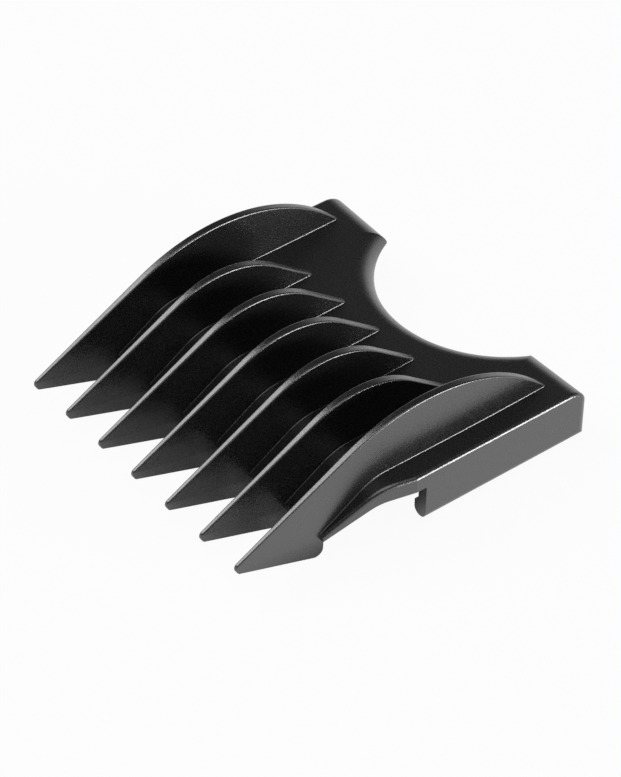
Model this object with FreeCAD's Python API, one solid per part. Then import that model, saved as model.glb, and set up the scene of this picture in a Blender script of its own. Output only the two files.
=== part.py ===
# Clip-on guide comb for a hair clipper.
# One black injection moulding, written out as its separate named features.
# Millimetres. +Z is up (tines up), -Y is the front (tine tips), X is across.
# The origin is on the underside of the deck, on the centre line, level with the
# front ends of the side rails. That underside is the seat for the clipper blade.

import FreeCAD, Part
import math
import os

V = FreeCAD.Vector
os.makedirs("parts", exist_ok=True)

# ---------------------------------------------------------------- sizes

# deck and the apron that bends down in front of it
width = 50.0
deck_t = 2.3
rear_y = 26.6
bend_start = -3.75
bend_top_r = 8.0
apron_angle = 32.5
under_bend_start = -5.2
under_bend_r = 6.0
under_angle = 25.0
apron_front_y = -13.85
taper_start = -1.55
taper_rate = 0.23
side_edge_r = 0.6

# rear edge and round notch
rear_slant = 1.8
rear_round_r = 3.3
corner_r = 1.5
notch_r = 16.25
notch_offset = 6.2
notch_round_r = 2.75
horn_tip_r = 1.1

# side rails, with a bead along the foot of each that snaps under the blade
rail_t = 1.47
rail_depth = 5.5
rail_heel_r = 0.5
bead_t = 2.14
bead_depth = 3.4
bead_ramp = 0.5

# tines: centre of the outer ones to the side of the deck, and their side profile
tine_count = 7
tine_ledge = 4.0
tine_reach = 12.9
tine_rise = 10.35
front_slope = math.radians(27.4)
rear_slope = math.radians(36.5)
inner_crown_r = 14.5
outer_crown_r = 26.5
inner_rear_gap = 1.45
outer_rear_gap = 1.15
tip_r = 0.7
tip_lean = 0.7
tip_low_z = -2.4
foot_lap = 0.65
foot_depth = 6.9
foot_corner_r = 1.0
tine_edge_r = 0.2
root_r = 0.12

# half thickness of a tine from its tip to its rear end, at the level of the deck
half_tip = 0.22
half_front = 0.36
half_mid = 0.535
half_crown = 0.65
half_rear = 0.42
front_station = 6.75
mid_station = 17.75
draft = 0.0105

# keel: the lower part of a tine's nose, thinned on both sides
keel_half = 0.2
keel_tip_half = 0.25
keel_rear_half = 0.52
keel_tip_back = 1.15
keel_tip_z = -1.85
keel_rear_front = 0.8

# ---------------------------------------------------------------- helpers

far = 60.0
deep = 20.0
overrun = 2.0
bury = 0.5


def box(x0, x1, y0, y1, z0, z1):
    return Part.makeBox(x1 - x0, y1 - y0, z1 - z0, V(x0, y0, z0))


def post(radius, x, y):
    return Part.makeCylinder(radius, 2 * deep, V(x, y, -deep))


def cross_bar(radius, y, z):
    return Part.makeCylinder(radius, 2 * far, V(-far, y, z), V(1, 0, 0))


def prism_x(edges, x0, x1):
    """Extrudes a closed chain of edges in the YZ plane along X."""
    face = Part.Face(Part.Wire(edges))
    face.translate(V(x0, 0, 0))
    return face.extrude(V(x1 - x0, 0, 0))


def prism_z(points):
    """Extrudes a polygon in plan through the whole height."""
    corners = [V(x, y, -deep) for x, y in points]
    return Part.Face(Part.makePolygon(corners + corners[:1])).extrude(V(0, 0, 2 * deep))


def line(a, b):
    return Part.makeLine(V(0, a[0], a[1]), V(0, b[0], b[1]))


def arc(a, m, b):
    return Part.Arc(V(0, a[0], a[1]), V(0, m[0], m[1]), V(0, b[0], b[1])).toShape()


def on_circle(centre, radius, angle):
    return (centre[0] + radius * math.cos(angle), centre[1] + radius * math.sin(angle))


def middle(edge):
    return edge.valueAt((edge.FirstParameter + edge.LastParameter) / 2)


def save(name, shape):
    if len(shape.Solids) != 1:
        raise ValueError("%s has %d solids" % (name, len(shape.Solids)))
    shape.Solids[0].exportStep("parts/%s.step" % name)


# ---------------------------------------------------------------- deck and apron

half = width / 2.0
blank_y = apron_front_y - overrun


def bend(start, level, radius, angle):
    """A level line that bends down towards the front: its start, arc and end points."""
    turn = math.radians(angle)
    centre = (start, level - radius)
    mid = on_circle(centre, radius, math.pi / 2 + turn / 2)
    end = on_circle(centre, radius, math.pi / 2 + turn)
    return centre, (start, level), mid, end, math.tan(turn)


top_c, top_a, top_m, top_b, top_fall = bend(bend_start, deck_t, bend_top_r, apron_angle)
low_c, low_a, low_m, low_b, low_fall = bend(under_bend_start, 0.0, under_bend_r, under_angle)


def deck_top(y):
    """Height of the deck's upper surface, ahead of the rear rounding."""
    if y > top_a[0]:
        return deck_t
    if y > top_b[0]:
        return top_c[1] + math.sqrt(bend_top_r**2 - (y - top_c[0]) ** 2)
    return top_b[1] + (y - top_b[0]) * top_fall


def apron_under(y):
    return low_b[1] + (y - low_b[0]) * low_fall


top_end = (blank_y, deck_top(blank_y))
low_end = (blank_y, apron_under(blank_y))
deck = prism_x(
    [
        line((rear_y, 0.0), (rear_y, deck_t)),
        line((rear_y, deck_t), top_a),
        arc(top_a, top_m, top_b),
        line(top_b, top_end),
        line(top_end, low_end),
        line(low_end, low_b),
        arc(low_b, low_m, low_a),
        line(low_a, (rear_y, 0.0)),
    ],
    -half,
    half,
)
deck = deck.cut(box(-far, far, blank_y - overrun, apron_front_y, -deep, deep))

# ---------------------------------------------------------------- side rails

bead_r = bead_t / 2.0
rail_bottom = -rail_depth
rail_root = deck_t / 2.0
rails = []
for s in (-1, 1):
    outer_x = s * half
    inner_x = s * (half - rail_t)
    bead_x = s * (half - bead_t)
    p = [
        V(outer_x, 0, rail_root),
        V(outer_x, 0, rail_bottom + bead_r),
        V(s * (half - bead_r), 0, rail_bottom),
        V(bead_x, 0, rail_bottom + bead_r),
        V(bead_x, 0, -bead_depth),
        V(inner_x, 0, bead_ramp - bead_depth),
        V(inner_x, 0, rail_root),
    ]
    edges = [Part.makeLine(p[0], p[1]), Part.Arc(p[1], p[2], p[3]).toShape()]
    edges += [Part.makeLine(p[i], p[(i + 1) % len(p)]) for i in range(3, len(p))]
    rail = Part.Face(Part.Wire(edges)).extrude(V(0, rear_y, 0))
    heel_y = rear_y - rail_heel_r
    heel_z = rail_bottom + rail_heel_r
    heel = box(-far, far, heel_y, rear_y + overrun, rail_bottom - overrun, heel_z)
    rails.append(rail.cut(heel.cut(cross_bar(rail_heel_r, heel_y, heel_z))))

shell = deck.fuse(rails).removeSplitter()

# ---------------------------------------------------------------- outline in plan

slant = math.tan(math.radians(rear_slant))
taper_x = half - taper_rate * (taper_start - blank_y)
nip = corner_r * (1 - math.sqrt(0.5))
rear_middle = V(0, rear_y - half * slant, -deep)
plan = [Part.makeLine(V(-taper_x, blank_y, -deep), V(taper_x, blank_y, -deep))]
for s in (-1, 1):
    front = V(s * taper_x, blank_y, -deep)
    shoulder = V(s * half, taper_start, -deep)
    corner_a = V(s * half, rear_y - corner_r, -deep)
    corner_m = V(s * (half - nip), rear_y - nip, -deep)
    corner_b = V(s * (half - corner_r), rear_y - corner_r * slant, -deep)
    plan += [Part.makeLine(front, shoulder), Part.makeLine(shoulder, corner_a)]
    plan.append(Part.Arc(corner_a, corner_m, corner_b).toShape())
    plan.append(Part.makeLine(corner_b, rear_middle))
outline = Part.Face(Part.Wire(Part.__sortEdges__(plan))).extrude(V(0, 0, 2 * deep))
shell = shell.common(outline)

# the round notch, with its two horn tips rounded in plan
notch_y = rear_y + notch_offset
shell = shell.cut(post(notch_r, 0, notch_y))
reach = notch_r + horn_tip_r
tip_cy = rear_middle.y + notch_r * slant - horn_tip_r
tip_cx = math.sqrt(reach**2 - (notch_y - tip_cy) ** 2)
touch_x = tip_cx * notch_r / reach
touch_y = notch_y - (notch_y - tip_cy) * notch_r / reach
for s in (-1, 1):
    wedge = prism_z(
        [
            (s * tip_cx, tip_cy),
            (s * touch_x, touch_y),
            (s * (touch_x - 2 * horn_tip_r), rear_y + overrun),
            (s * tip_cx, rear_y + overrun),
        ]
    )
    shell = shell.cut(wedge.cut(post(horn_tip_r, s * tip_cx, tip_cy)))

# large rounding of the rear edge, square to each slanted half, and of the notch's rim
round_y = rear_y - rear_round_r
round_z = deck_t - rear_round_r
for s in (-1, 1):
    x0, x1 = (-bury, half + overrun) if s > 0 else (-half - overrun, bury)
    tool = box(x0, x1, round_y, rear_y + overrun, round_z, deck_t + overrun)
    tool = tool.cut(cross_bar(rear_round_r, round_y, round_z))
    tool.rotate(V(s * half, rear_y, 0), V(0, 0, 1), s * rear_slant)
    shell = shell.cut(tool)
rim = V(0, notch_y, deck_t - notch_round_r)
rim_r = notch_r + notch_round_r
tool = Part.makeCylinder(rim_r, notch_round_r + overrun, rim)
shell = shell.cut(tool.cut(Part.makeTorus(rim_r, notch_round_r, rim, V(0, 0, 1))))

# small rounding along the two side edges of the deck
side_edges = []
for e in shell.Edges:
    m = middle(e)
    on_top = abs(m.z - deck_top(m.y)) < 0.05 and m.y < round_y
    if on_top and abs(m.x) > taper_x - 0.1 and e.BoundBox.YLength > 1.0:
        side_edges.append(e)
shell = shell.makeFillet(side_edge_r, side_edges)

# ---------------------------------------------------------------- tines

tine_pitch = (half - tine_ledge) * 2 / (tine_count - 1)
notch_front_y = notch_y - notch_r
inner_rear_y = notch_front_y - notch_round_r - inner_rear_gap
outer_rear_y = round_y - outer_rear_gap
front_level = deck_t + tine_rise
front_tan = math.tan(front_slope)
tip_y = apron_front_y - tine_reach
foot_rear_y = apron_front_y + foot_lap


def buried(y):
    """A point just inside the deck or the apron."""
    return (y, deck_top(y) - bury)


def inner_crown():
    """The arc over an inner tine, tangent to its front line and to its rear line."""
    rear_tan = math.tan(rear_slope)
    rear_level = deck_t + rear_tan * inner_rear_y
    over_front = inner_crown_r / math.cos(front_slope)
    over_rear = inner_crown_r / math.cos(rear_slope)
    cy = (rear_level - over_rear - front_level + over_front) / (front_tan + rear_tan)
    cz = front_level + front_tan * cy - over_front
    rear_end = ((rear_level - deck_t + bury) / rear_tan, deck_t - bury)
    return (cy, cz), inner_crown_r, math.pi / 2 - rear_slope, rear_end


def outer_crown():
    """The arc over an outer tine, tangent to its front line and down to the deck."""
    k = tine_rise - outer_crown_r / math.cos(front_slope)
    a = 1 + front_tan**2
    b = 2 * (front_tan * k - outer_rear_y)
    c = outer_rear_y**2 + k**2 - outer_crown_r**2
    cy = (-b - math.sqrt(b * b - 4 * a * c)) / (2 * a)
    cz = deck_t + k + front_tan * cy
    down = deck_t - bury - cz
    rear_end = (cy + math.sqrt(outer_crown_r**2 - down**2), deck_t - bury)
    return (cy, cz), outer_crown_r, math.atan2(down, rear_end[0] - cy), rear_end


def profile(crown):
    """The side view of a tine, as a slab wider than the tine."""
    centre, radius, end_angle, rear_end = crown
    start_angle = math.pi / 2 + front_slope
    start = on_circle(centre, radius, start_angle)
    mid = on_circle(centre, radius, (start_angle + end_angle) / 2)
    end = on_circle(centre, radius, end_angle)
    corners = [
        (tip_y, front_level + front_tan * tip_y),
        (tip_y + tip_lean, tip_low_z),
        (foot_rear_y, -foot_depth),
        buried(foot_rear_y),
        buried(top_b[0]),
        buried(bend_start),
        rear_end,
    ]
    edges = [line(corners[0], start), arc(start, mid, end)]
    if math.hypot(end[0] - rear_end[0], end[1] - rear_end[1]) > 0.01:
        edges.append(line(end, rear_end))
    edges += [line(corners[i], corners[i - 1]) for i in range(len(corners) - 1, 0, -1)]
    slab = prism_x(edges, -overrun, overrun)
    for radius, places in ((tip_r, corners[:2]), (foot_corner_r, corners[2:3])):
        picked = []
        for e in slab.Edges:
            m = middle(e)
            near = min(math.hypot(m.y - y, m.z - z) for y, z in places)
            if near < 0.01 and e.BoundBox.XLength > overrun:
                picked.append(e)
        slab = slab.makeFillet(radius, picked)
    return slab


def thickness(crown):
    """A slim lens in plan that narrows upwards with the mould's draft."""
    stations = [
        (tip_y - overrun, half_tip),
        (tip_y + front_station, half_front),
        (tip_y + mid_station, half_mid),
        (crown[0][0], half_crown),
        (crown[3][0] + overrun, half_rear),
    ]
    wires = []
    for z in (-foot_depth - overrun, front_level + overrun):
        extra = draft * (deck_t - z)
        left = [V(-half_t - extra, y, z) for y, half_t in stations]
        right = [V(half_t + extra, y, z) for y, half_t in stations]
        curves = [Part.BSplineCurve(), Part.BSplineCurve()]
        curves[0].interpolate(left)
        curves[1].interpolate(right)
        front = Part.makeLine(left[0], right[0])
        back = Part.makeLine(right[-1], left[-1])
        wires.append(Part.Wire([curves[0].toShape(), front, curves[1].toShape(), back]))
    return Part.makeLoft(wires, True, True)


def soften(tine):
    """Rounds the two long upper edges of a tine."""
    edges = []
    for face in tine.Faces:
        u0, u1, v0, v1 = face.ParameterRange
        n = face.normalAt((u0 + u1) / 2, (v0 + v1) / 2)
        if n.z > 0.2 and abs(n.x) < 0.1:
            for e in face.Edges:
                if abs(middle(e).x) > 0.1 and e.BoundBox.YLength > 0.3:
                    edges.append(e)
    return tine.makeFillet(tine_edge_r, edges)


def cut_keel(tine):
    """Thins both sides of the nose below a line that runs back from the tip."""
    keel_rear_y = apron_front_y - keel_rear_front
    a = V(keel_tip_half, tip_y + keel_tip_back, keel_tip_z)
    b = V(keel_rear_half, keel_rear_y, apron_under(apron_front_y))
    c = V(keel_half, foot_rear_y, -foot_depth)
    n = (b - a).cross(c - a)
    for s in (-1, 1):
        corners = []
        for y, z in ((-far, -far), (0, -far), (0, far), (-far, far)):
            x = a.x - (n.y * (y - a.y) + n.z * (z - a.z)) / n.x
            corners.append(V(s * x, y, z))
        side = Part.Face(Part.makePolygon(corners + corners[:1]))
        tine = tine.cut(side.extrude(V(s * far, 0, 0)))
    return tine


def root(tine, rear):
    """Fillets the tine's two sides to the deck, then takes the deck away again."""
    side = 0.4 * tine_pitch
    strip = deck.common(box(-side, side, -far, far, -far, far))
    joined = tine.fuse(strip)
    edges = []
    for e in joined.Edges:
        m = middle(e)
        on_deck = abs(m.z - deck_top(m.y)) < 0.02 and apron_front_y < m.y < rear
        if on_deck and 0.1 < abs(m.x) < side / 2 and e.BoundBox.YLength > 0.8:
            edges.append(e)
    return joined.makeFillet(root_r, edges).cut(strip)


tines = []
for crown in (outer_crown(), inner_crown()):
    blade = soften(profile(crown).common(thickness(crown)))
    tines.append(root(cut_keel(blade), crown[3][0]))

# ---------------------------------------------------------------- write the nodes

seam_x = half - bead_t
seam_y = notch_front_y - notch_round_r + tine_edge_r
seam_z = bead_ramp - bead_depth

save("apron", shell.common(box(-far, far, -far, bend_start, -far, far)))
centre = box(-seam_x, seam_x, 0, seam_y, -far, far)
centre = centre.fuse(box(-far, far, bend_start, 0, -far, far))
save("deck_plate", shell.common(centre).removeSplitter())
for side, x0, x1 in (("left", -far, -seam_x), ("right", seam_x, far)):
    save("rail_" + side, shell.common(box(x0, x1, 0, far, seam_z, far)))
    save("bead_" + side, shell.common(box(x0, x1, 0, far, -far, seam_z)))
for side, x0, x1 in (("left", -seam_x, 0), ("right", 0, seam_x)):
    save("horn_" + side, shell.common(box(x0, x1, seam_y, far, -far, far)))

seam = [(apron_front_y, far), buried(apron_front_y), buried(top_b[0]), buried(bend_start)]
seam += [(far, deck_t - bury), (far, far)]
over_deck = prism_x([line(seam[i - 1], seam[i]) for i in range(len(seam))], -far, far)
for n in range(1, tine_count + 1):
    tine = tines[0 if n in (1, tine_count) else 1].copy()
    tine.translate(V((n - (tine_count + 1) / 2.0) * tine_pitch, 0, 0))
    save("tine_%d_fin" % n, tine.common(over_deck))
    save("tine_%d_nose" % n, tine.cut(over_deck))
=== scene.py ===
import math

import bpy
from mathutils import Matrix, Vector


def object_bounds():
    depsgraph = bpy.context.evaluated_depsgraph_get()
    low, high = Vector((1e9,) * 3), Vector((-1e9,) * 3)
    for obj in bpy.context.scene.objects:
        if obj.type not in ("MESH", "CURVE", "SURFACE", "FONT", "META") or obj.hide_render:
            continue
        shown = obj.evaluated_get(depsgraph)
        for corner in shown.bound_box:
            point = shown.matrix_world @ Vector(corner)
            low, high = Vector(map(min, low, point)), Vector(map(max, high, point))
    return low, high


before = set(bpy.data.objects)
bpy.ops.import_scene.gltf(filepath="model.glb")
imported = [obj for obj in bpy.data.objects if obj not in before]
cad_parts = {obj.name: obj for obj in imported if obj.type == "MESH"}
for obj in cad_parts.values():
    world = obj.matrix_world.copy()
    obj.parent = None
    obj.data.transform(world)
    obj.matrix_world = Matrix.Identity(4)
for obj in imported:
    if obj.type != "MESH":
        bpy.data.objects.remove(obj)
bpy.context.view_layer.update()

# ---------------------------------------------------------------- deck, apron and horns
# The comb's body is a flat plate with its front edge bent down and a round notch behind.
# It is one shot of black plastic with everything below. The mould's spark-eroded walls
# are taken to leave a very fine satin grain on it, with gloss that varies softly.

MM = 0.001
GRAIN_DARK = (0.003, 0.003, 0.0031, 1.0)
GRAIN_PALE = (0.012, 0.012, 0.0124, 1.0)
PIT_SCALE = 5200.0
CLOUD_SCALE = 900.0
RUB_SCALE = 70.0
PIT_LOW, PIT_HIGH = 0.35, 0.65
PIT_GLOSS_LOSS = 0.08
PLASTIC_IOR = 1.6
PLASTIC_SPECULAR = 0.95


class Sock:
    """Wraps a node socket so that shader maths reads as ordinary expressions."""

    def __init__(self, tree, socket):
        self.tree = tree
        self.socket = socket

    def _math(self, operation, a, b):
        node = self.tree.nodes.new("ShaderNodeMath")
        node.operation = operation
        for i, value in enumerate((a, b)):
            if isinstance(value, Sock):
                self.tree.links.new(value.socket, node.inputs[i])
            else:
                node.inputs[i].default_value = value
        return Sock(self.tree, node.outputs[0])

    def __add__(self, other):
        return self._math("ADD", self, other)

    def __radd__(self, other):
        return self._math("ADD", other, self)

    def __sub__(self, other):
        return self._math("SUBTRACT", self, other)

    def __rsub__(self, other):
        return self._math("SUBTRACT", other, self)

    def __mul__(self, other):
        return self._math("MULTIPLY", self, other)

    def __rmul__(self, other):
        return self._math("MULTIPLY", other, self)


class Shader:
    """A material's or world's node tree, cleared, with one method that makes any node."""

    def __init__(self, owner):
        owner.use_nodes = True
        self.tree = owner.node_tree
        self.tree.nodes.clear()

    def node(self, kind, settings=None, **inputs):
        made = self.tree.nodes.new(kind)
        for name, value in (settings or {}).items():
            setattr(made, name, value)
        for name, value in inputs.items():
            key = int(name[1:]) if name[0] == "_" else name.replace("_", " ")
            if isinstance(value, Sock):
                self.tree.links.new(value.socket, made.inputs[key])
            else:
                made.inputs[key].default_value = value
        return made

    def out(self, made, name=0):
        return Sock(self.tree, made.outputs[name])


def moulded_plastic(name, gloss_low, gloss_span, grain_depth):
    """Black satin plastic: roughness runs from gloss_low, grain_depth is in millimetres."""
    made = bpy.data.materials.new(name)
    s = Shader(made)
    place = s.out(s.node("ShaderNodeTexCoord"), "Object")
    noise = "ShaderNodeTexNoise"
    pits = s.out(s.node(noise, Vector=place, Scale=PIT_SCALE, Detail=3.0, Roughness=0.6), "Fac")
    cloud = s.out(s.node(noise, Vector=place, Scale=CLOUD_SCALE, Detail=2.0), "Fac")
    rubbed = s.out(s.node(noise, Vector=place, Scale=RUB_SCALE, Detail=3.0), "Fac")
    speck = s.out(s.node("ShaderNodeMapRange", Value=pits, _1=PIT_LOW, _2=PIT_HIGH))
    tint = s.node(
        "ShaderNodeMix", {"data_type": "RGBA"}, _0=0.75 * speck + 0.25 * cloud, _6=GRAIN_DARK, _7=GRAIN_PALE
    )
    bump = s.node(
        "ShaderNodeBump", Strength=0.5, Distance=grain_depth * MM, Height=0.7 * pits + 0.3 * cloud
    )
    surface = s.node(
        "ShaderNodeBsdfPrincipled",
        Base_Color=Sock(s.tree, tint.outputs[2]),
        Roughness=gloss_low + gloss_span * rubbed + PIT_GLOSS_LOSS * speck,
        Normal=s.out(bump),
        IOR=PLASTIC_IOR,
        Specular_IOR_Level=PLASTIC_SPECULAR,
    )
    s.node("ShaderNodeOutputMaterial", Surface=s.out(surface))
    return made


def cover(finish, *names):
    """Gives the CAD nodes whose names start this way one finish."""
    for name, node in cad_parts.items():
        if name.startswith(names):
            node.data.materials.clear()
            node.data.materials.append(finish)


satin = moulded_plastic("satin black moulding", gloss_low=0.2, gloss_span=0.07, grain_depth=0.06)
cover(satin, "deck_plate", "apron", "horn_")

# ---------------------------------------------------------------- side rails and beads
# Two side walls hang from the deck's edges, each with a round bead along its foot that
# snaps under the clipper's blade. Same shot and the same grain, so no seam shows.

cover(satin, "rail_", "bead_")

# ---------------------------------------------------------------- tines
# Seven slim fins run along the deck and end in thinned noses ahead of the apron. They are of
# the same shot as the deck, with a finish that is a little glossier, as if hair rubs them.

slick = moulded_plastic("slick black tines", gloss_low=0.19, gloss_span=0.06, grain_depth=0.05)
cover(slick, "tine_")

# ---------------------------------------------------------------- studio
# The comb lies tines up on a white paper table under a white room. A low box on its right
# lights the side wall, one overhead lights the deck, one at the left the tines' front slopes.

low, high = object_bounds()
TABLE_SIZE = 6.0
WHITE = (1.0, 1.0, 1.0, 1.0)
PAPER = (0.8, 0.8, 0.8, 1.0)
PAPER_GLOW = 0.94
# the painted shadow under the comb fades from this far inside its outline to this far outside
PAINTED_SHADOW_INSIDE = -5.0 * MM
PAINTED_SHADOW_OUTSIDE = 1.0 * MM
bpy.ops.mesh.primitive_plane_add(size=TABLE_SIZE, location=(0, 0, low[2]))
table = bpy.context.object
table.name = "table"
paper = bpy.data.materials.new("white paper")
s = Shader(paper)
rays = s.node("ShaderNodeLightPath")
bright = s.node("ShaderNodeEmission", Color=WHITE, Strength=1.0)
matt = s.node("ShaderNodeBsdfDiffuse", Color=PAPER)
# what shines up into the plastic is glowing paper round the comb, masked dark under it: painted light
# around the comb and a painted shadow beneath it
where = s.node("ShaderNodeSeparateXYZ", Vector=s.out(s.node("ShaderNodeTexCoord"), "Object"))
across = s.out(s.node("ShaderNodeMath", {"operation": "ABSOLUTE"}, _0=s.out(where, "X")))
along = s.out(s.node("ShaderNodeMath", {"operation": "ABSOLUTE"}, _0=s.out(where, "Y")))
clear = s.node("ShaderNodeMath", {"operation": "MAXIMUM"}, _0=across - high[0], _1=along - high[1])
painted_shadow_mask = s.out(
    s.node(
        "ShaderNodeMapRange",
        {"interpolation_type": "SMOOTHSTEP"},
        Value=s.out(clear),
        _1=PAINTED_SHADOW_INSIDE,
        _2=PAINTED_SHADOW_OUTSIDE,
    )
)
# the camera sees the paper glow evenly; glossy rays see it through the painted shadow mask
seen = PAPER_GLOW * s.out(rays, "Is Camera Ray") + painted_shadow_mask * s.out(rays, "Is Glossy Ray")
mix = s.node("ShaderNodeMixShader", _0=seen, _1=s.out(matt), _2=s.out(bright))
s.node("ShaderNodeOutputMaterial", Surface=s.out(mix))
table.data.materials.append(paper)

# the room is bright low down and dim above, so that the upper faces stay black
ROOM_LOW, ROOM_HIGH = 0.05, 0.45
ROOM_BRIGHT, ROOM_DIM = 1.0, 0.07
world = bpy.data.worlds.new("studio")
bpy.context.scene.world = world
s = Shader(world)
rays = s.node("ShaderNodeLightPath")
white = s.node("ShaderNodeBackground", Color=WHITE, Strength=1.0)
way = s.node("ShaderNodeSeparateXYZ", Vector=s.out(s.node("ShaderNodeTexCoord"), "Generated"))
glow = s.out(
    s.node(
        "ShaderNodeMapRange",
        {"interpolation_type": "SMOOTHSTEP"},
        Value=s.out(way, "Z"),
        _1=ROOM_LOW,
        _2=ROOM_HIGH,
        _3=ROOM_BRIGHT,
        _4=ROOM_DIM,
    )
)
room = s.node("ShaderNodeBackground", Color=WHITE, Strength=glow)
mix = s.node("ShaderNodeMixShader", _0=s.out(rays, "Is Camera Ray"), _1=s.out(room), _2=s.out(white))
s.node("ShaderNodeOutputWorld", Surface=s.out(mix))

BOX_DISTANCE = 0.6


def soft_box(name, direction, size, power):
    """A rectangular lamp at BOX_DISTANCE from the comb, facing it."""
    data = bpy.data.lights.new(name, "AREA")
    data.shape = "RECTANGLE"
    data.size = size[0]
    data.size_y = size[1]
    data.energy = power
    lamp = bpy.data.objects.new(name, data)
    bpy.context.scene.collection.objects.link(lamp)
    aim = Vector(direction).normalized()
    lamp.location = aim * BOX_DISTANCE
    lamp.rotation_euler = aim.to_track_quat("Z", "Y").to_euler()


soft_box("side box", (0.86, 0.475, 0.15), (0.30, 0.17), 3.0)
soft_box("overhead box", (0.15, -0.1, 1.0), (0.45, 0.45), 1.1)
soft_box("front fill", (-0.58, -0.43, 0.75), (0.35, 0.35), 1.7)

# ---------------------------------------------------------------- camera
# A long lens, looking down on the comb from its front right, turned a degree on its side.
# Offsets are measured in the lens's own right and up directions.

azimuth, elevation, roll = math.radians(51.133), math.radians(41.419), math.radians(1.121)
distance = 456.54 * MM
offset_right, offset_up = -18.544 * MM, -12.801 * MM
aim_point = Vector((0, 25.05, 2.3)) * MM
reach = math.cos(elevation)
back = Vector((math.sin(azimuth) * reach, -math.cos(azimuth) * reach, math.sin(elevation)))
level = (-back).cross(Vector((0, 0, 1))).normalized()
upright = level.cross(-back)
right = math.cos(roll) * level + math.sin(roll) * upright
up = -math.sin(roll) * level + math.cos(roll) * upright
SENSOR_WIDTH = 36.0
LENS_LENGTH = 163.296
NEAR_CLIP = 10.0 * MM
data = bpy.data.cameras.new("camera")
data.sensor_width = SENSOR_WIDTH
data.lens = LENS_LENGTH
data.clip_start = NEAR_CLIP
camera = bpy.data.objects.new("camera", data)
bpy.context.scene.collection.objects.link(camera)
stand = aim_point + back * distance + offset_right * right + offset_up * up
camera.matrix_world = Matrix.Translation(stand) @ Matrix((right, up, back)).transposed().to_4x4()
bpy.context.scene.camera = camera
bpy.context.scene.view_settings.view_transform = "Standard"
